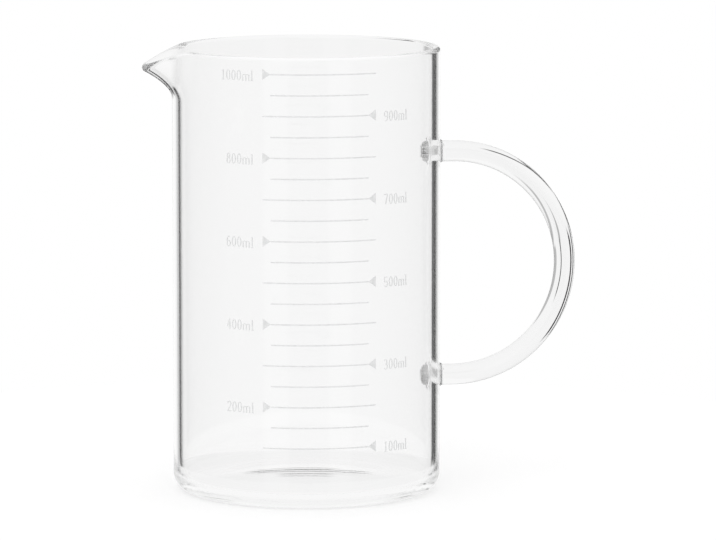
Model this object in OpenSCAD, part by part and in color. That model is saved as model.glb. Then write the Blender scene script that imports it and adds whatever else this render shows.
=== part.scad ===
// One litre glass measuring jug: a straight tube of borosilicate glass with a pushed-up base,
// a lip pulled out of the rim, a bent glass rod let into the wall as a handle, and a fired-on scale.
// The origin is on the axis of the tube, in the plane that the jug stands on. The handle points
// along +X, the lip along -X, and the scale faces -Y.

/* [Glass body] */
// Outer diameter of the tube
body_d = 98; // [90:1:112]
// Height from the table to the top of the rim
body_h = 163.3; // [142:0.1:192]
// Thickness of the wall
wall = 2.9; // [1.6:0.1:3.4]
// Thickness of the floor
floor_t = 4; // [2.5:0.1:5]
// Outer rounding between wall and base
foot_r = 6.5; // [5:0.5:9]
// Inner rounding between wall and floor
well_r = 4.5; // [2:0.5:6]
// Width of the flat ring that the jug stands on
ring_w = 8.5; // [4:0.5:12]
// Height of the pushed-up middle of the base
push_h = 2.5; // [1:0.1:4]

/* [Pouring lip] */
// How far the tip stands out from the wall
lip_reach = 10.3; // [7:0.1:14]
// How far the tip lies below the rim
lip_drop = 7.1; // [2:0.1:8.5]
// Height over which the wall bends out to the tip, measured down from the rim
lip_h = 19.5; // [16:0.5:28]
// Angle from the middle of the lip to where the plain wall begins
lip_half_angle = 28; // [20:1:35]
// Sharpness of the bulge seen from above
lip_point = 1.5; // [0.9:0.05:2]
// Sharpness of the dip of the rim seen from the side
lip_dip_point = 1.4; // [1:0.1:4]

/* [Handle] */
// Diameter of the glass rod
rod_d = 7.7; // [6:0.1:9]
// Radius of the bend, to the middle of the rod
bend_r = 41.4; // [34:0.2:46]
// Height of the middle of the handle above the table
handle_h = 82.8; // [70:0.1:90]
// Straight length of the rod outside the wall, at each end
stub_l = 5.2; // [4:0.1:12]
// How far the ends of the rod stand out inside the jug
stub_in = 3.4; // [2.2:0.1:6]
// Rounding of the melted ends of the rod
stub_round = 2; // [1:0.1:2.5]

/* [Fused joints] */
// Radius of the hollow flow of glass between rod and wall, outside
weld_out_r = 1.7; // [1:0.1:2.5]
// Radius of the hollow flow of glass between rod and wall, inside
weld_in_r = 1; // [0.6:0.1:1.5]
// Thickness of the joint where it runs out on rod and wall
weld_edge = 0.25; // [0.15:0.05:0.4]

/* [Scale] */
// Largest volume on the scale, in millilitres
largest_volume = 1000; // [800:100:1000]
// Smallest volume on the scale, in millilitres
smallest_volume = 100; // [100:100:300]
// Volume between two lines, in millilitres
volume_step = 50; // [50:50:100]
// Height at which a flat floor would hold as much as this rounded, pushed-up one
zero_h = 7.5; // [5:0.1:9]
// Least height left bare between the top line and the rim
rim_bare = 4; // [3:0.5:12]
// Thickness of the fired enamel
ink_t = 0.1; // [0.05:0.01:0.2]
// Height of a printed line
line_h = 0.45; // [0.3:0.05:0.8]
// Length round the wall from the middle of the scale to the end of a long line
line_half_l = 21; // [16:0.2:24]
// Length of a pointer triangle
pointer_l = 3; // [2:0.1:4]
// Height of a pointer triangle
pointer_h = 4; // [2:0.1:5]
// Free space between a pointer and its figures
figure_gap = 3.5; // [2:0.1:6]
// Height of the figures
figure_h = 3.8; // [3:0.1:5]
// Width of a thick stroke
thick_stroke = 0.42; // [0.3:0.02:0.6]
// Width of a thin stroke
thin_stroke = 0.24; // [0.15:0.01:0.28]

/* [Hidden] */
glass_colour = [0.86, 0.93, 0.94, 0.45];
joint_colour = [0.78, 0.88, 0.90, 0.6];
ink_colour = [0.72, 0.72, 0.72];
round_fn = 96;
small_fn = 32;

out_r = body_d / 2;
in_r = out_r - wall;
rod_r = rod_d / 2;
push_r = out_r - foot_r - ring_w;
// How far a cut runs past the face that it opens
over = wall;

// Lip: the patch of wall that is pulled out, as angles and rows of points. It is let into the
// plain wall all round by a lap, and is thinner by a seam on each face, so that it fuses cleanly.
lip_steps = 26;
lip_rows = 10;
edge_steps = 4;
lip_root = body_h - lip_h;
edge_r = wall / 2;
seam = wall / 50;
lap = wall / 3;

// Handle: the heights of its two ends, where its bend begins, and where the rod stops inside
stub_z = [handle_h + bend_r, handle_h - bend_r];
bend_x = out_r + stub_l;
stub_end = in_r - stub_in;

// Scale: one line for each step below the rim, and a pointer and figures for each full hundred
hundred = 100;
// A millilitre is the cube of this length
centimetre = 10;
volumes = [for (v = [smallest_volume : volume_step : largest_volume]) if (line_z(v) < body_h - rim_bare) v];
hundreds = [for (v = volumes) if (v % hundred == 0) v];

function line_z(v) = zero_h + v * pow(centimetre, 3) / (PI * in_r * in_r);
function arc_angle(length) = length / out_r * 180 / PI;
function points_right(v) = (v / hundred) % 2 == 0;

// Share of the full bulge at an angle from the middle of the lip
function lip_share(angle) =
    abs(angle) < lip_half_angle ? (1 + cos(180 * angle / lip_half_angle)) / 2 : 0;

// How far the outer face bulges at an angle, and how high it reaches above the root of the lip
function lip_out(angle) = lip_reach * pow(lip_share(angle), lip_point);
function lip_up(angle) = lip_h - edge_r - lip_drop * pow(lip_share(angle), lip_dip_point);

// A point of the outer face, as radius and height, at an angle and at a share of the way up
function lip_outer(angle, up) = [out_r + lip_out(angle) * up * up, lip_root + lip_up(angle) * up];

// Outward direction across the wall at that point, of length one
function lip_side(angle, up) =
    let (side = [lip_up(angle), -2 * lip_out(angle) * up])
    side / norm(side);

// The section of the patch at an angle: up the outside, round the edge and down the inside
function lip_section(angle) =
    let (side = lip_side(angle, 1), run = [-side[1], side[0]],
         edge = lip_outer(angle, 1) - side * edge_r)
    concat(
        [[out_r - seam, lip_root - lap]],
        [for (i = [0 : lip_rows]) let (up = i / lip_rows)
            lip_outer(angle, up) - seam * lip_side(angle, up)],
        [for (i = [1 : edge_steps - 1]) let (turn = 180 * i / edge_steps)
            edge + (edge_r - seam) * (side * cos(turn) + run * sin(turn))],
        [for (i = [lip_rows : -1 : 0]) let (up = i / lip_rows)
            lip_outer(angle, up) - (wall - seam) * lip_side(angle, up)],
        [[in_r + seam, lip_root - lap]]);

// Half the section of the plain tube with its base and its melted rim
module tube_section() {
    difference() {
        union() {
            square([out_r - foot_r, body_h / 2]);
            translate([0, foot_r]) square([out_r, body_h - edge_r - foot_r]);
            translate([out_r - foot_r, foot_r]) circle(foot_r, $fn = round_fn);
        }
        hollow_section();
        push_section(0);
    }
    translate([out_r - edge_r, body_h - edge_r]) circle(edge_r, $fn = small_fn);
}

// The space inside the jug, with the raised middle of the floor left standing
module hollow_section() {
    difference() {
        union() {
            translate([0, floor_t]) square([in_r - well_r, body_h]);
            translate([0, floor_t + well_r]) square([in_r, body_h]);
            translate([in_r - well_r, floor_t + well_r]) circle(well_r, $fn = round_fn);
        }
        push_section(floor_t);
    }
}

// The pushed-up dome, thicker by the given amount
module push_section(thicker) {
    dome_r = (push_r * push_r + push_h * push_h) / (2 * push_h);
    intersection() {
        translate([0, push_h - dome_r]) circle(dome_r + thicker, $fn = round_fn);
        translate([0, -over]) square([in_r, push_h + thicker + 2 * over]);
    }
}

// The wedge of the wall that the lip takes the place of, from the middle of the lap upwards
module lip_window() {
    far = out_r + lip_reach;
    x = -far * cos(lip_half_angle);
    y = far * sin(lip_half_angle);
    translate([0, 0, lip_root - lap / 2]) linear_extrude(lip_h + lap / 2 + over)
        polygon([[0, 0], [x, y], [-2 * far, 0], [x, -y]]);
}

module lip_patch() {
    // Points of a section: their number, the last one, and the one at the top of the edge
    per = 2 * (lip_rows + 2) + edge_steps - 1;
    last = per - 1;
    top = last / 2;
    far = lip_steps * per;
    beyond = lip_half_angle + arc_angle(lap);
    points = [for (j = [0 : lip_steps]) let (angle = beyond * (2 * j / lip_steps - 1))
        for (p = lip_section(angle)) [-p[0] * cos(angle), p[0] * sin(angle), p[1]]];
    near_end = concat(
        [for (i = [0 : top - 1]) [i, i + 1, last - i]],
        [for (i = [0 : top - 2]) [i + 1, last - i - 1, last - i]]);
    far_end = [for (face = near_end) [face[1] + far, face[0] + far, face[2] + far]];
    sides = [for (j = [0 : lip_steps - 1], i = [0 : last])
        let (a = j * per + i, b = j * per + (i + 1) % per) each [[a, a + per, b], [b, a + per, b + per]]];
    polyhedron(points, concat(near_end, far_end, sides));
}

// Turns what stands up along +Z to point along +X, at the height of one end of the handle
module along_x(z) {
    translate([0, 0, z]) rotate([0, 90, 0]) children();
}

module glass_body() {
    color(glass_colour) {
        difference() {
            rotate_extrude($fn = round_fn) tube_section();
            lip_window();
            for (z = stub_z) along_x(z) translate([0, 0, in_r - over])
                cylinder(h = wall + 2 * over, r = rod_r, $fn = round_fn);
        }
        lip_patch();
    }
}

// Half the section of a straight end of the rod, melted round at its tip
module stub_section(length) {
    square([rod_r - stub_round, length]);
    square([rod_r, length - stub_round]);
    intersection() {
        translate([rod_r - stub_round, length - stub_round]) circle(stub_round, $fn = small_fn);
        square([rod_r, length]);
    }
}

module handle() {
    color(glass_colour) {
        translate([bend_x, 0, handle_h]) rotate([90, 0, 0]) rotate(-90)
            rotate_extrude(angle = 180, $fn = round_fn)
            translate([bend_r, 0]) circle(rod_r, $fn = round_fn);
        for (z = stub_z) along_x(z) translate([0, 0, bend_x]) mirror([0, 0, 1])
            rotate_extrude($fn = round_fn) stub_section(bend_x - stub_end);
    }
}

// A ring of glass round the rod that flows out hollow onto a wall at z = 0, and on below it
module flow_ring(flow_r, below) {
    rotate_extrude($fn = round_fn) difference() {
        translate([rod_r, -below]) square([flow_r, flow_r + below]);
        translate([rod_r + flow_r, flow_r]) circle(flow_r - weld_edge, $fn = round_fn);
    }
}

// Each joint is a ring outside the wall and a smaller one inside, cut to the round of the wall
module weld(z) {
    half_w = rod_r + weld_out_r;
    sag = out_r - sqrt(out_r * out_r - half_w * half_w);
    color(joint_colour) {
        difference() {
            along_x(z) translate([0, 0, out_r]) flow_ring(weld_out_r, sag + over);
            translate([0, 0, z - half_w - over])
                cylinder(h = 2 * (half_w + over), r = out_r, $fn = round_fn);
        }
        intersection() {
            along_x(z) translate([0, 0, in_r - sag]) mirror([0, 0, 1])
                flow_ring(weld_in_r, sag + over);
            translate([0, 0, z - half_w]) cylinder(h = 2 * half_w, r = in_r, $fn = round_fn);
        }
    }
}

module upper_weld() { weld(stub_z[0]); }
module lower_weld() { weld(stub_z[1]); }

// The skin of enamel that pointers and figures are cut from, between two heights
module ink_skin(low, high) {
    translate([0, 0, low]) difference() {
        cylinder(h = high - low, r = out_r + ink_t, $fn = round_fn);
        translate([0, 0, -over]) cylinder(h = high - low + 2 * over, r = out_r, $fn = round_fn);
    }
}

// A flat shape laid on the wall, at an angle round from the front and at a height, which
// stays within the given height above and below
module printed(angle, z, within) {
    intersection() {
        rotate(angle) translate([0, 0, z]) rotate([90, 0, 0]) linear_extrude(out_r + over) children();
        ink_skin(z - within, z + within);
    }
}

// A line is long on the side where its pointer stands for a left end, and short where it does not
module scale_line(v) {
    full = arc_angle(line_half_l);
    short = arc_angle(line_half_l - pointer_l);
    marked = v % hundred == 0;
    left = marked && !points_right(v) ? full : short;
    right = marked && points_right(v) ? full : short;
    color(ink_colour) rotate(-90 - left) rotate_extrude(angle = left + right, $fn = round_fn)
        translate([out_r, line_z(v) - line_h / 2]) square([ink_t, line_h]);
}

// A triangle whose tip touches the short end of its line
module scale_pointer(v) {
    side = points_right(v) ? 1 : -1;
    middle = -side * (line_half_l - pointer_l / 2);
    color(ink_colour) printed(arc_angle(middle), line_z(v), pointer_h)
        polygon([[-side * pointer_l / 2, -pointer_h / 2], [side * pointer_l / 2, 0],
                 [-side * pointer_l / 2, pointer_h / 2]]);
}

// The signs 0 to 9, m and l. All places and widths are shares of the height of the figures.
m_sign = 10;
l_sign = 11;
sign_w_shares = [0.47, 0.47, 0.47, 0.47, 0.47, 0.47, 0.47, 0.47, 0.47, 0.47, 0.76, 0.26];
sign_gap_share = 0.12;
// How much of the height of the figures lies below their line
figure_drop_share = 0.66;

// Straight strokes of each sign: both ends, and from 0 for a thin stroke to 1 for a thick one
bar_shares = [
    [],
    [[0.24, 0, 0.24, 1, 1], [0.1, 0.03, 0.38, 0.03, 0], [0.1, 0.84, 0.24, 0.97, 0]],
    [[0.4, 0.6, 0.05, 0.06, 0.6], [0, 0.05, 0.47, 0.05, 0.8]],
    [],
    [[0.32, 0, 0.32, 1, 1], [0, 0.27, 0.47, 0.27, 0], [0.03, 0.27, 0.31, 0.98, 0]],
    [[0.06, 0.5, 0.06, 1, 0], [0.05, 0.95, 0.43, 0.95, 0.6]],
    [],
    [[0, 0.95, 0.47, 0.95, 0.6], [0.42, 0.95, 0.19, 0, 0.8]],
    [],
    [],
    [[0.06, 0, 0.06, 0.57, 1], [0.38, 0, 0.38, 0.55, 1], [0.7, 0, 0.7, 0.55, 1],
     [0, 0.03, 0.14, 0.03, 0], [0.3, 0.03, 0.46, 0.03, 0], [0.62, 0.03, 0.76, 0.03, 0]],
    [[0.13, 0, 0.13, 1, 1], [0, 0.03, 0.26, 0.03, 0], [0.03, 0.97, 0.13, 0.97, 0]]];

// Curved strokes of each sign: the middle, half width and half height of an oval, then the
// angles that the stroke runs between
bow_shares = [
    [[0.235, 0.5, 0.235, 0.5, 0, 360]],
    [],
    [[0.235, 0.72, 0.235, 0.28, 170, -25]],
    [[0.21, 0.75, 0.21, 0.25, 155, -90], [0.235, 0.27, 0.235, 0.27, 90, -155]],
    [],
    [[0.235, 0.3, 0.235, 0.3, 145, -150]],
    [[0.26, 0.5, 0.26, 0.5, 70, 200], [0.235, 0.3, 0.235, 0.3, 0, 360]],
    [],
    [[0.235, 0.76, 0.2, 0.24, 0, 360], [0.235, 0.28, 0.235, 0.28, 0, 360]],
    [[0.21, 0.5, 0.26, 0.5, -110, 20], [0.235, 0.7, 0.235, 0.3, 0, 360]],
    [[0.22, 0.45, 0.217, 0.19, 0, 160], [0.54, 0.45, 0.217, 0.19, 0, 160]],
    []];
bow_steps = 8;

// One curved stroke, thick at its sides and thin at its top and bottom, in two halves
module bow(b) {
    middle = [b[0], b[1]] * figure_h;
    outer = [b[2], b[3]] * figure_h;
    inner = outer - [thick_stroke, thin_stroke];
    half = (b[5] - b[4]) / 2;
    for (from = [b[4], b[4] + half]) polygon(concat(
        [for (i = [0 : bow_steps]) let (a = from + half * i / bow_steps)
            middle + [outer[0] * cos(a), outer[1] * sin(a)]],
        [for (i = [bow_steps : -1 : 0]) let (a = from + half * i / bow_steps)
            middle + [inner[0] * cos(a), inner[1] * sin(a)]]));
}

// One straight stroke
module bar(b) {
    start = [b[0], b[1]] * figure_h;
    end = [b[2], b[3]] * figure_h;
    width = thin_stroke + (thick_stroke - thin_stroke) * b[4];
    run = (end - start) / norm(end - start);
    side = [-run[1], run[0]] * width / 2;
    polygon([start - side, end - side, end + side, start + side]);
}

// The signs of a volume from left to right: its digits, then the letters of the unit
function digits(v) = v < 10 ? [v] : concat(digits(floor(v / 10)), [v % 10]);
function signs(v) = concat(digits(v), [m_sign, l_sign]);
function sign_w(s) = figure_h * sign_w_shares[s];

// Width of the first few signs of a list, each with the gap after it
function signs_w(list, count) =
    count == 0 ? 0 : signs_w(list, count - 1) + sign_w(list[count - 1]) + figure_h * sign_gap_share;

module scale_figures(v) {
    list = signs(v);
    last = len(list) - 1;
    full_w = signs_w(list, last) + sign_w(list[last]);
    start = points_right(v) ? -(line_half_l + figure_gap + full_w) : line_half_l + figure_gap;
    color(ink_colour) for (i = [0 : last])
        printed(arc_angle(start + signs_w(list, i) + sign_w(list[i]) / 2), line_z(v), figure_h)
            translate([-sign_w(list[i]) / 2, -figure_h * figure_drop_share]) {
                for (b = bar_shares[list[i]]) bar(b);
                for (b = bow_shares[list[i]]) bow(b);
            }
}

glass_body();
handle();
upper_weld();
lower_weld();
for (v = volumes) scale_line(v);
for (v = hundreds) scale_pointer(v);
for (v = hundreds) scale_figures(v);
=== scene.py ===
"""A one litre glass measuring jug: a pulled lip, a handle of bent glass rod and a fired scale."""
import math

import bmesh
import bpy
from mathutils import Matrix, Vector


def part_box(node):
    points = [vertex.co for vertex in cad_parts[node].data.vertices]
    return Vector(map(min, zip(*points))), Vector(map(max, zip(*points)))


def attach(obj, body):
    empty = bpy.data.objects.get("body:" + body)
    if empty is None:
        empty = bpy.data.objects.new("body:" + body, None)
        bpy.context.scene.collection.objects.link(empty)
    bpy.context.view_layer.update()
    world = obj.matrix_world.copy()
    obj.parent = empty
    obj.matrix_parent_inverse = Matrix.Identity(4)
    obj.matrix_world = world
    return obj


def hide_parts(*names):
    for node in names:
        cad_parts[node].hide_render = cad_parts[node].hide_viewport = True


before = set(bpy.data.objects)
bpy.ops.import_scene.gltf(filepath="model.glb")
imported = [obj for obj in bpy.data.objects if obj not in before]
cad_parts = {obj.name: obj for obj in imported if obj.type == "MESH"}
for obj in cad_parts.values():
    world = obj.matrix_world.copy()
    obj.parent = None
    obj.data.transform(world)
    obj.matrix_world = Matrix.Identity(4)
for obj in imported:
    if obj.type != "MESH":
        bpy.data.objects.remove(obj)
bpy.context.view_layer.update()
scene = bpy.context.scene
scene.view_settings.view_transform = "Standard"
mm = 0.001

# Camera
# The photograph is taken from 1.94 m, a little above the rim and a little to the left of the middle
# of the scale. The picture is 716 pixels wide, and 5289 of its pixels are one focal length.
camera_azimuth = math.radians(-6.5)
camera_pitch = math.radians(7.56)
camera_distance = 1939.6 * mm
picture_width_px = 716
focal_px = 5289
sensor_mm = 36
right_of_axis = 18.92 * mm
look_height = 80.85 * mm

across = Vector((math.cos(camera_azimuth), math.sin(camera_azimuth), 0))
towards = Vector((math.sin(camera_azimuth), -math.cos(camera_azimuth), 0))
ahead = -towards * math.cos(camera_pitch) - Vector((0, 0, math.sin(camera_pitch)))
target = across * right_of_axis + Vector((0, 0, look_height))
lens = bpy.data.cameras.new("camera")
lens.sensor_width = sensor_mm
lens.lens = sensor_mm * focal_px / picture_width_px
lens.clip_start = 0.05
lens.clip_end = 50
camera = bpy.data.objects.new("camera", lens)
camera.location = target - camera_distance * ahead
camera.rotation_euler = (math.pi / 2 - camera_pitch, 0, camera_azimuth)
scene.collection.objects.link(camera)
scene.camera = camera

# Tube
# The body is a straight tube of borosilicate glass, closed in the flame. Its base is rounded, with
# a flat ring to stand on and a middle that is pushed up a little. The floor is thicker than the
# wall.
body_low, body_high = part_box("glass_body")
out_r = body_high.y
body_h = body_high.z
foot_r = 6.5 * mm
ring_w = 8.5 * mm
push_h = 2.5 * mm
wall = 2.9 * mm
floor_t = 4 * mm
sides = 320
row_h = 4 * mm
lip_row_h = 1 * mm
last_row = 0.3
lip_h = 19.5 * mm
foot_segments = 10
dome_rings = 8
level = 0.9
hair = 0.01 * mm


def start_piece(name):
    """Names the primitive that was just added, puts its place into its mesh, and opens it."""
    made = bpy.context.object
    made.name = name
    bpy.ops.object.transform_apply(location=True, rotation=True, scale=True)
    bpy.ops.object.mode_set(mode="EDIT")
    return made


def pick(kind, test):
    """Selects only the edges or faces of the open mesh that pass a test."""
    bpy.ops.mesh.select_all(action="DESELECT")
    bpy.ops.mesh.select_mode(type=kind)
    mesh = bmesh.from_edit_mesh(bpy.context.object.data)
    for part in mesh.edges if kind == "EDGE" else mesh.faces:
        part.select_set(bool(test(part)))
    bmesh.update_edit_mesh(bpy.context.object.data)


bpy.ops.object.select_all(action="DESELECT")
bpy.ops.mesh.primitive_cylinder_add(
    vertices=sides, radius=out_r, depth=body_h, end_fill_type="NGON", location=(0, 0, body_h / 2))
jug = start_piece("jug_glass")
pick("FACE", lambda face: face.normal.z > level)
bpy.ops.mesh.delete(type="FACE")
pick("EDGE", lambda edge: all(corner.co.z < hair for corner in edge.verts))
bpy.ops.mesh.bevel(offset=foot_r, segments=foot_segments, affect="EDGES", profile=0.5)

# The base: a flat ring, then rings of the dome, and one point in the middle
push_r = out_r - foot_r - ring_w
dome_r = (push_r ** 2 + push_h ** 2) / (2 * push_h)


def dome_height(r):
    """Height of the pushed-up middle at a distance from the jug's axis."""
    return math.sqrt(dome_r ** 2 - r ** 2) - (dome_r - push_h)


pick("FACE", lambda face: face.normal.z < -level and len(face.verts) == sides)
bpy.ops.mesh.inset(thickness=ring_w / 2)
bpy.ops.mesh.inset(thickness=ring_w / 2)
for ring in range(1, dome_rings):
    r = push_r * (1 - ring / dome_rings)
    bpy.ops.mesh.inset(thickness=push_r / dome_rings)
    bpy.ops.transform.translate(
        value=(0, 0, dome_height(r) - dome_height(r + push_r / dome_rings)))
bpy.ops.mesh.poke()
mesh = bmesh.from_edit_mesh(jug.data)
middle = min(mesh.verts, key=lambda v: math.hypot(v.co.x, v.co.y))
middle.co = (0, 0, push_h)
bmesh.update_edit_mesh(jug.data)

# Rows round the wall, closer together where the lip is pulled
lip_root = body_h - lip_h
rows = [foot_r + row_h * i for i in range(1, int((lip_root - foot_r) / row_h))]
rows += [lip_root - row_h * last_row]
rows += [lip_root + lip_row_h * i for i in range(int(lip_h / lip_row_h))]
for height in rows:
    bpy.ops.mesh.select_all(action="SELECT")
    bpy.ops.mesh.bisect(plane_co=(0, 0, height), plane_no=(0, 0, 1))

# Lip
# The rim is softened again on one side and drawn out and down over a round bar, so the wall bends
# outwards in an arc, widest at the tip, and runs back into the plain wall on both sides.
lip_reach = 10.3 * mm
lip_drop = 7.1 * mm
lip_half_angle = math.radians(28)
lip_point = 1.5
lip_dip_point = 1.4
face_h = lip_h - wall / 2


def lip_share(angle):
    """Share of the full pull at an angle from the middle of the lip."""
    if abs(angle) >= lip_half_angle:
        return 0
    return (1 + math.cos(math.pi * angle / lip_half_angle)) / 2


mesh = bmesh.from_edit_mesh(jug.data)
for corner in mesh.verts:
    rise = corner.co.z - lip_root
    angle = math.atan2(corner.co.y, -corner.co.x)
    if rise <= 0 or lip_share(angle) == 0:
        continue
    up = min(rise / face_h, 1)
    out = lip_reach * lip_share(angle) ** lip_point
    climb = face_h - lip_drop * lip_share(angle) ** lip_dip_point
    straight_on = Vector((2 * out, climb)).normalized() * max(rise - face_h, 0)
    r = out_r + out * up ** 2 + straight_on.x
    height = lip_root + climb * up + straight_on.y
    corner.co = (-r * math.cos(angle), r * math.sin(angle), height)
bmesh.update_edit_mesh(jug.data)
bpy.ops.object.mode_set(mode="OBJECT")

# The wall gets its thickness inwards: full in the floor, and less in the wall. The cut edge is then
# melted round.
well_h = 9 * mm
edge_share = 0.49
edge_segments = 5
thickness = jug.vertex_groups.new(name="thickness")
for corner in jug.data.vertices:
    rise = min(max(corner.co.z / well_h, 0), 1)
    rise = rise * rise * (3 - 2 * rise)
    if math.hypot(corner.co.x, corner.co.y) < push_r + ring_w:
        rise = 0
    thickness.add([corner.index], (floor_t + (wall - floor_t) * rise) / floor_t, "REPLACE")
skin_faces = len(jug.data.polygons)
shell = jug.modifiers.new("wall", "SOLIDIFY")
shell.thickness = floor_t
shell.offset = -1
shell.use_even_offset = True
shell.vertex_group = "thickness"
bpy.ops.object.modifier_apply(modifier=shell.name)
bpy.ops.object.mode_set(mode="EDIT")
pick("FACE", lambda face: face.index >= 2 * skin_faces)
bpy.ops.mesh.region_to_loop()
bpy.ops.mesh.bevel(
    offset=wall * edge_share, segments=edge_segments, affect="EDGES", profile=0.5,
    clamp_overlap=False)
bpy.ops.mesh.select_all(action="SELECT")
bpy.ops.mesh.remove_doubles(threshold=hair)
bpy.ops.mesh.normals_make_consistent(inside=False)
bpy.ops.object.mode_set(mode="OBJECT")

# Handle
# A solid rod of the same glass, bent hot to a half circle. Both ends pass through holes in the wall
# and end inside the jug, melted round. Where the rod meets the wall, glass flows out into a hollow
# collar.
handle_low, handle_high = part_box("handle")
rod_r = handle_high.y
handle_h = (handle_low.z + handle_high.z) / 2
bend_r = (handle_high.z - handle_low.z) / 2 - rod_r
bend_x = handle_high.x - rod_r - bend_r
stub_end = handle_low.x
stub_round = 2 * mm
flow_out = 1.7 * mm
flow_in = 1.0 * mm
flow_sink = 0.12 * mm
flow_steps = 8
rod_sides = 64
bend_steps = 40
straight_steps = 4
in_r = out_r - wall

bpy.ops.object.select_all(action="DESELECT")
bpy.ops.mesh.primitive_circle_add(
    vertices=rod_sides, radius=rod_r, fill_type="NOTHING", location=(bend_x, 0, bend_r),
    rotation=(0, math.pi / 2, 0))
rod = start_piece("rod")


def draw_rod(stops):
    """Draws the open end of the rod on along X through stops of a place and a radius."""
    at_x, at_r = bend_x, rod_r
    for x, r in stops:
        bpy.ops.mesh.extrude_region_move(TRANSFORM_OT_translate={"value": (x - at_x, 0, 0)})
        bpy.ops.transform.resize(value=(1, r / at_r, r / at_r), center_override=(x, 0, bend_r))
        at_x, at_r = x, r


def flow(x, radius, steps):
    """Stops of a hollow collar that starts on the rod and runs out on the wall at x."""
    turns = [math.pi / 2 * i / steps for i in range(steps)]
    return [(x + radius * (1 - math.sin(turn)), rod_r + abs(radius) * (1 - math.cos(turn)))
            for turn in turns]


inner_flow = [(2 * in_r - x, r) for x, r in flow(in_r, flow_in, flow_steps)]
straight = [bend_x + (out_r + flow_out - bend_x) * i / straight_steps
            for i in range(1, straight_steps)]
stops = [(x, rod_r) for x in straight]
stops += flow(out_r, flow_out, flow_steps)
stops += [(out_r - flow_sink, rod_r + flow_out), (in_r + flow_sink, rod_r + flow_in)]
stops += list(reversed(inner_flow))
stops += [((in_r - flow_in + stub_end + stub_round) / 2, rod_r)]
stops += [(stub_end + stub_round * (1 - math.sin(turn)), rod_r - stub_round * (1 - math.cos(turn)))
          for turn in [math.pi / 2 * i / flow_steps for i in range(flow_steps + 1)]]
pick("EDGE", lambda edge: True)
draw_rod(stops)
bpy.ops.mesh.extrude_region_move(TRANSFORM_OT_translate={"value": (0, 0, 0)})
bpy.ops.mesh.merge(type="CENTER")
pick("EDGE", lambda edge: all(abs(corner.co.x - bend_x) < hair for corner in edge.verts))
bpy.ops.mesh.spin(steps=bend_steps, angle=-math.pi / 2, center=(bend_x, 0, 0), axis=(0, 1, 0))
bpy.ops.object.mode_set(mode="OBJECT")

# The collars follow the round of the wall, and the lower half is the mirror image of the upper one
for corner in rod.data.vertices:
    if corner.co.x <= out_r + flow_out + hair and corner.co.z > 0:
        follow = out_r if corner.co.x > (out_r + in_r) / 2 else in_r
        corner.co.x += math.sqrt(follow ** 2 - corner.co.y ** 2) - follow
other_half = rod.modifiers.new("other half", "MIRROR")
other_half.use_axis = (False, False, True)
other_half.merge_threshold = hair
bpy.ops.object.modifier_apply(modifier=other_half.name)
rod.location.z = handle_h
bpy.ops.object.transform_apply(location=True)
bpy.ops.object.mode_set(mode="EDIT")
bpy.ops.mesh.select_all(action="SELECT")
bpy.ops.mesh.normals_make_consistent(inside=False)
bpy.ops.object.mode_set(mode="OBJECT")

# Fused glass
# Tube and rod are melted together, so light passes from one to the other without a boundary. They
# become one closed skin here, as on the real jug, and the CAD's four pieces of glass are in it.
bpy.ops.object.select_all(action="DESELECT")
bpy.context.view_layer.objects.active = jug
jug.select_set(True)
melt = jug.modifiers.new("melt", "BOOLEAN")
melt.operation = "UNION"
melt.solver = "EXACT"
melt.object = rod
bpy.ops.object.modifier_apply(modifier=melt.name)
bpy.data.objects.remove(rod)
jug.vertex_groups.clear()
bpy.ops.object.mode_set(mode="EDIT")
bpy.ops.mesh.select_all(action="SELECT")
bpy.ops.mesh.remove_doubles(threshold=hair / 2)
bpy.ops.object.mode_set(mode="OBJECT")
bpy.ops.object.shade_smooth()


class Link:
    """A socket of a material or world. It takes part in sums as a number does, and makes nodes."""

    def __init__(self, tree, socket=None):
        self.tree = tree
        self.socket = socket

    def node(self, kind, settings=None, inputs=None, output=0):
        """Any node: its settings are set first, then the values or links of its sockets."""
        made = self.tree.nodes.new(kind)
        for name, value in (settings or {}).items():
            setattr(made, name, value)
        for name, value in (inputs or {}).items():
            if isinstance(value, Link):
                self.tree.links.new(value.socket, made.inputs[name])
            else:
                made.inputs[name].default_value = value
        return Link(self.tree, made.outputs[output])

    def maths(self, operation, *values):
        """A Math node with its values or links in their order."""
        return self.node("ShaderNodeMath", {"operation": operation}, dict(enumerate(values)))

    def __add__(self, other):
        return self.maths("ADD", self, other)

    def __radd__(self, other):
        return self.maths("ADD", other, self)

    def __sub__(self, other):
        return self.maths("SUBTRACT", self, other)

    def __rsub__(self, other):
        return self.maths("SUBTRACT", other, self)

    def __mul__(self, other):
        return self.maths("MULTIPLY", self, other)

    def __rmul__(self, other):
        return self.maths("MULTIPLY", other, self)

    def between(self, low, high):
        """0 below low and 1 above high, with a smooth way from one to the other."""
        return self.node("ShaderNodeMapRange", {"interpolation_type": "SMOOTHSTEP"},
                         {"Value": self, "From Min": low, "From Max": high})


def new_material(name):
    """An empty material with its output, and a link to start from."""
    material = bpy.data.materials.new(name)
    material.use_nodes = True
    tree = material.node_tree
    tree.nodes.clear()
    output = tree.nodes.new("ShaderNodeOutputMaterial")
    return material, Link(tree), output


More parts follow.
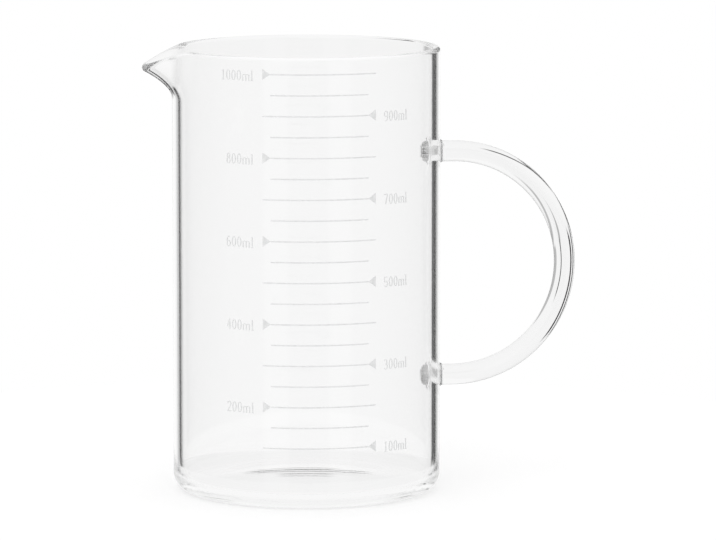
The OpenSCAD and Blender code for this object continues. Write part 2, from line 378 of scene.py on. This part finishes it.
# The glass is clear and flame polished. Drawn glass is never quite even: the surface swells and
# dips by a few hundredths of a millimetre over several centimetres, more up and down than round.
swell_depth = 0.03 * mm
haze_roughness = 0.008
glass, start, output = new_material("borosilicate_glass")
place = start.node("ShaderNodeTexCoord", output="Object")
stretched = start.node("ShaderNodeMapping", None, {"Vector": place, "Scale": (1, 1, 0.35)})
swell = start.node("ShaderNodeTexNoise", None, {"Vector": stretched, "Scale": 28, "Detail": 1})
uneven = start.node("ShaderNodeBump", None, {
    "Strength": 1, "Distance": swell_depth, "Height": swell})
haze = start.node("ShaderNodeTexNoise", None, {"Vector": place, "Scale": 60, "Detail": 3})
start.node("ShaderNodeBsdfPrincipled", None, {
    "Base Color": (1, 1, 1, 1),
    "Roughness": haze.between(0.55, 0.8) * haze_roughness,
    "IOR": 1.472,
    "Transmission Weight": 1,
    "Normal": uneven,
})
glass.node_tree.links.new(glass.node_tree.nodes[-1].outputs[0], output.inputs["Surface"])
jug.data.materials.clear()
jug.data.materials.append(glass)
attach(jug, "root")
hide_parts("glass_body", "handle", "upper_weld", "lower_weld")

# Scale
# Lines, pointers and figures are screen printed in pale grey ceramic enamel and fired on. The paste
# lies a little unevenly: it is thinner in places, and its edge and surface are slightly grainy.
thin_paste = (0.70, 0.705, 0.705, 1)
full_paste = (0.78, 0.785, 0.785, 1)
grain_depth = 0.02 * mm
enamel, start, output = new_material("scale_enamel")
place = start.node("ShaderNodeTexCoord", output="Object")
cover = start.node("ShaderNodeTexNoise", None, {"Vector": place, "Scale": 900, "Detail": 2})
tone = start.node("ShaderNodeMix", {"data_type": "RGBA"}, {
    0: cover.between(0.3, 0.7), 6: thin_paste, 7: full_paste}, output=2)
grain = start.node("ShaderNodeTexNoise", None, {"Vector": place, "Scale": 4000, "Detail": 2})
rough = start.node("ShaderNodeBump", None, {
    "Strength": 0.4, "Distance": grain_depth, "Height": grain})
start.node("ShaderNodeBsdfPrincipled", None, {
    "Base Color": tone, "Roughness": 0.35 + 0.2 * cover, "IOR": 1.5, "Normal": rough})
enamel.node_tree.links.new(enamel.node_tree.nodes[-1].outputs[0], output.inputs["Surface"])
for name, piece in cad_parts.items():
    if name.startswith(("line_", "pointer_", "figures_")):
        piece.data.materials.clear()
        piece.data.materials.append(enamel)

# Table
# The jug stands on a round white table, which keeps its shadow. Light that leaves the glass sees
# painted light round the foot instead: the table glows an even white there, so the shadow under the
# jug never shows in the glass, and past that glow it sees the studio.
table_r = 260 * mm
table_gap = 0.05 * mm
table_sides = 96
table_grey = (0.3, 0.3, 0.3, 1)
table_glow = 0.72
# Painted light: how far and how bright the table glows round the foot for rays that leave the glass
glow_for_glass_r = 78 * mm
glow_for_glass_fade = 0.9
glow_for_glass_white = 0.94
bpy.ops.object.select_all(action="DESELECT")
bpy.ops.mesh.primitive_circle_add(
    vertices=table_sides, radius=table_r, fill_type="NGON", location=(0, 0, -table_gap))
floor = bpy.context.object
floor.name = "table"
white, start, output = new_material("white_table")
path = start.node("ShaderNodeLightPath")
bent, mirrored = (Link(start.tree, path.socket.node.outputs[name])
                  for name in ("Is Transmission Ray", "Is Glossy Ray"))
lit = start.node("ShaderNodeAddShader", None, {
    0: start.node("ShaderNodeBsdfDiffuse", None, {"Color": table_grey}),
    1: start.node("ShaderNodeEmission", None, {"Strength": table_glow})})
away = start.node("ShaderNodeVectorMath", {"operation": "LENGTH"},
                  {0: start.node("ShaderNodeTexCoord", output="Object")}, output=1)
# Painted light: for rays that leave the glass, the table round the foot glows an even white in
# place of the shade under the jug, then fades to clear
glow_for_glass = start.node("ShaderNodeMixShader", None, {
    0: away.between(glow_for_glass_r * glow_for_glass_fade, glow_for_glass_r),
    1: start.node("ShaderNodeEmission", None, {"Strength": glow_for_glass_white}),
    2: start.node("ShaderNodeBsdfTransparent")})
seen = start.node("ShaderNodeMixShader", None, {0: bent + mirrored, 1: lit, 2: glow_for_glass})
white.node_tree.links.new(seen.socket, output.inputs["Surface"])
floor.data.materials.append(white)

# Studio
# The room is white where it is seen directly. The jug's glass shows more of it: a backdrop between
# dark gaps, pale walls and soft boxes where it mirrors, and dark cards where it bends light.

# Light that is caught in the lip or in a joint runs on inside the glass for very many bounces
scene.cycles.max_bounces = scene.cycles.glossy_bounces = scene.cycles.transmission_bounces = 300

world = bpy.data.worlds.new("studio")
scene.world = world
world.use_nodes = True
world.node_tree.nodes.clear()
start = Link(world.node_tree)
output = world.node_tree.nodes.new("ShaderNodeOutputWorld")
ray = start.node("ShaderNodeLightPath")
camera_ray, diffuse_ray, mirrorings, bends = (
    Link(start.tree, ray.socket.node.outputs[name])
    for name in ("Is Camera Ray", "Is Diffuse Ray", "Glossy Depth", "Transmission Depth"))
direction = start.node("ShaderNodeTexCoord", output="Generated")


def along(axis):
    """How far a ray's direction goes along an axis, from -1 to 1."""
    return start.node(
        "ShaderNodeVectorMath", {"operation": "DOT_PRODUCT"}, {0: direction, 1: axis}, output=1)


def band(value, low, high, soft):
    """1 where a value is between two limits, 0 past their soft edges."""
    return (value.between(low - soft / 2, low + soft / 2)
            * (1 - value.between(high - soft / 2, high + soft / 2)))


def at_least(count, number):
    """1 for rays that were bent or mirrored this number of times or more."""
    return count.between(number - 0.6, number - 0.4)


upright = across.cross(ahead)
sideways, upwards, forward = along(across), along(upright), along(ahead)
degrees = 180 / math.pi
up = along((0, 0, 1))
down = 0 - up
turn = degrees * start.node(
    "ShaderNodeMath", {"operation": "ARCTAN2"}, {0: sideways, 1: along(-towards)})
aside = turn.maths("ABSOLUTE", turn)

# What mirrored light sees, by its turn in degrees to the right: a white backdrop that is greyer on
# the left, walls that start behind a dark gap on each side and get darker as they come forward, and
# two soft boxes in front. Above and below it is pale. A pair is where a change starts and ends, and
# a third number is how soft both edges of a band are.
backdrop_left, backdrop_right = (-33, -29), (16, 26)
backdrop_grey, backdrop_grey_end = 0.66, (-32, -18)
left_wall, right_wall = (38, 41), (33.5, 36.5)
wall_grey, wall_start_white, wall_fade = 0.3, 0.35, (48, 100)
left_box, right_box, box_white = (-165, -143, 5), (140, 160, 5), 0.25
pale_above, pale_below, pale = (0.08, 0.25), (0.33, 0.45), 0.9
backdrop = turn.between(*backdrop_left) * (1 - turn.between(*backdrop_right))
backdrop = backdrop * (backdrop_grey + (1 - backdrop_grey) * turn.between(*backdrop_grey_end))
walls = (0 - turn).between(*left_wall) + turn.between(*right_wall)
boxes = band(turn, *left_box) + band(turn, *right_box)
walls = walls * (wall_grey + wall_start_white * (1 - aside.between(*wall_fade)) + box_white * boxes)
poles = up.between(*pale_above) + down.between(*pale_below)
studio = (backdrop + walls) * (1 - poles) + pale * poles

# The cards that bent light sees. Each one has its darkness, then its left edge, its right edge and
# how soft they are, then its lower edge, its upper edge and how soft they are. These are shares of
# a ray's way, and none stands for no edge on that side.
none = 9
rod_shade = 0.06
rod_cards = [
    (1, (-0.49, -0.375, 0.03), (-0.13, 0.36, 0.04)),
    (0.5, (0.6, none, 0.06), (-0.48, 0.06, 0.05)),
    (0.9, (0.2, 0.255, 0.02), (-0.07, 0.045, 0.03)),
    (0.5, (0.1, 0.21, 0.03), (0.03, 0.06, 0.01)),
]
outer_cards = [
    (0.9, (-0.73, -0.61, 0.03), (-0.25, 0.5, 0.06)),
    (0.9, (-1.1, -0.66, 0.04), (-0.75, -0.3, 0.04)),
    (0.9, (-0.62, -0.35, 0.04), (-0.8, -0.52, 0.04)),
]
joint_card = (0.9, (0.38, 0.8, 0.04), (-0.25, 0.25, 0.05))


def card(dark, across_edges, height_edges):
    """How much of the light one card takes."""
    return dark * band(sideways, *across_edges) * band(upwards, *height_edges)


# Two more cards lean: a dark one to the left, and a pale grey one above on the right
left_lean = along(0.64 * across - 0.75 * upright - 0.18 * ahead)
left_card = (0.9, (-0.72, -0.06, 0.06), (-none, none, 0.06))
right_lean = upwards + 0.3 * sideways
right_card = (0.5, (0.28, none, 0.12), (0.06, none, 0.06))
leaning = (band(left_lean, 0.015, 0.065, 0.02) * card(*left_card)
           + band(right_lean, 0.315, 0.43, 0.06) * card(*right_card))
deep = at_least(bends, 3)
rod_only = at_least(bends, 2) * (1 - deep)
cards = leaning + sum(card(*one) for one in rod_cards)
taken = rod_only * (rod_shade + (1 - rod_shade) * cards)
taken = taken + at_least(bends, 2) * sum(card(*one) for one in outer_cards)
seen_through = 1 - taken - deep * card(*joint_card)
seen_through = seen_through.maths("MAXIMUM", seen_through, 0)

# The dark gaps are filled for light from deep inside the jug, for light that goes up to the right
# after many turns in the foot, and for light that leaves a joint down to the right
gap_fill = 0.62
foot_side = (1, (0.225, none, 0.15), (0.075, none, 0.09))
joint_side, joint_fall = (0.46, 0.56, 0.03), (0.19, 0.24)
from_foot = at_least(mirrorings, 2) * card(*foot_side)
from_joint = band(sideways, *joint_side) * down.between(*joint_fall)
filled = gap_fill * deep.maths("MAXIMUM", deep, from_foot.maths("MAXIMUM", from_foot, from_joint))
studio = studio.maths("MAXIMUM", studio, filled)

# Light that is mirrored inside the lip meets the dark edge of the table, a ring seen from the jug,
# and light that is mirrored by the floor of the jug meets three thin dark lines
table_edge, table_edge_part = (8, 24.5, 2), (0.95, (-0.36, 0.02, 0.03), (-none, -0.1, 0.04))
floor_lines = [
    (0.6, (-0.065, 0.02, 0.02), (0.224, 0.246, 0.01)),
    (1, (-0.075, 0.06, 0.03), (0.264, 0.286, 0.006)),
    (1, (-0.04, 0.02, 0.02), (0.35, 0.37, 0.006)),
]
ring = band(degrees * forward.maths("ARCCOSINE", forward), *table_edge)
studio = studio * (1 - (1 - deep) * ring * card(*table_edge_part))
studio = studio * (1 - deep * sum(card(*one) for one in floor_lines))

# The outer surface mirrors a dark floor, and one dark card above on the right
dark_floor, dark_floor_start = 0.9, (0.2, 0.3)
outer_card = (0.9, (0.12, 0.5, 0.05), (0.1, 0.42, 0.05))
outside = 1 - at_least(bends, 1)
dark = dark_floor * down.between(*dark_floor_start) + card(*outer_card)
studio = studio * (1 - outside * dark)

# Each kind of ray gets its own share: the table is lit evenly, and the camera sees plain white
light_on_table = 0.95
was_mirrored = at_least(mirrorings, 1)
light = was_mirrored * studio + (1 - was_mirrored) * seen_through
light = diffuse_ray * light_on_table + (1 - diffuse_ray) * light
light = camera_ray + (1 - camera_ray) * light
sky = start.node("ShaderNodeBackground", None, {"Color": (1, 1, 1, 1), "Strength": light})
world.node_tree.links.new(sky.socket, output.inputs["Surface"])

# Lamp
# One large soft box hangs in front, above and to the left. It lights the enamel and the table, and
# the glass doesn't show it.
lamp_place = (-0.5, -0.9, 1.6)
lamp_aim = Vector((0, 0, 0.08))
lamp_size = 1.2
lamp_watts = 6
bpy.ops.object.light_add(type="AREA", location=lamp_place)
lamp = bpy.context.object
lamp.name = "top_light"
lamp.rotation_euler = (lamp_aim - lamp.location).to_track_quat("-Z", "Y").to_euler()
lamp.data.size = lamp_size
lamp.data.energy = lamp_watts
lamp.visible_glossy = False
lamp.visible_transmission = False
